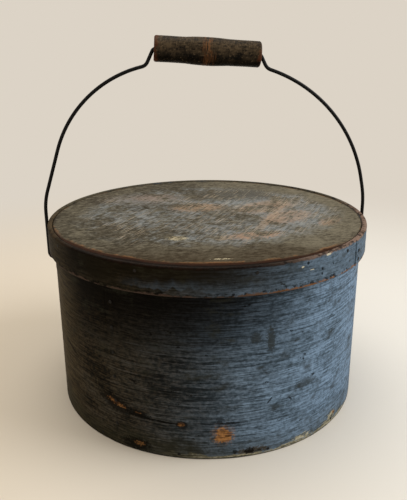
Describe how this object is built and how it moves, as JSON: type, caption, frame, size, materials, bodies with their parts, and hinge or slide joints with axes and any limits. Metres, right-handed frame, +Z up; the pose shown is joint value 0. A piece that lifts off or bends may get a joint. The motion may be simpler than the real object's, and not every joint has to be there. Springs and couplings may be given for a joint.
{
  "type": "round bentwood pantry box",
  "caption": "Round lidded box bent from thin wood, with a drop-over lid and a swinging wire bail carrying a turned wooden grip.",
  "frame": {"origin": "centre of the underside, in the plane that the box stands on", "axes": "+Z up; X through the two bail ears, left ear at -X; the bail swings towards +Y and -Y"},
  "size_m": [0.3264, 0.3174, 0.3553],
  "materials": {
    "blue_painted_side": "worn matt milk paint over thin bent wood",
    "blue_painted_band": "worn matt milk paint, edges rubbed to the wood",
    "worn_painted_board": "paint worn through to grey-brown wood",
    "bare_pine": "bare aged pine",
    "dark_turned_wood": "dark worn paint over turned wood",
    "black_iron_wire": "dark oxidised iron wire",
    "iron_plate": "dark oxidised sheet iron",
    "iron_tacks": "dark iron with rust",
    "iron_nails": "rusty iron, painted over"
  },
  "bodies": {
    "box": {"box_side": "blue_painted_side", "bottom_board": "bare_pine", "side_lap_tacks": "iron_tacks", "bottom_nails": "iron_nails", "ear_plate_left": "iron_plate", "ear_plate_right": "iron_plate", "ear_tacks_left": "iron_tacks", "ear_tacks_right": "iron_tacks", "pivot_washer_left": "iron_plate", "pivot_washer_right": "iron_plate"},
    "lid": {"lid_band": "blue_painted_band", "lid_board": "worn_painted_board", "lid_lap_tacks": "iron_tacks", "lid_nails": "iron_nails"},
    "bail": {"bail_wire": "black_iron_wire"},
    "grip": {"bail_grip": "dark_turned_wood"}
  },
  "joints": [
    {"name": "bail_swing", "type": "hinge", "parent": "box", "child": "bail", "pos_m": [0, 0, 0.14], "axis": [1, 0, 0], "range_deg": [-122, 122]},
    {"name": "grip_spin", "type": "hinge", "parent": "bail", "child": "grip", "pos_m": [0.001, 0, 0.34001], "axis": [0.9981, 0, -0.062], "continuous": true},
    {"name": "lid_lift", "type": "slide", "parent": "box", "child": "lid", "axis": [0, 0, 1], "range_m": [0, 0.016]}
  ]
}
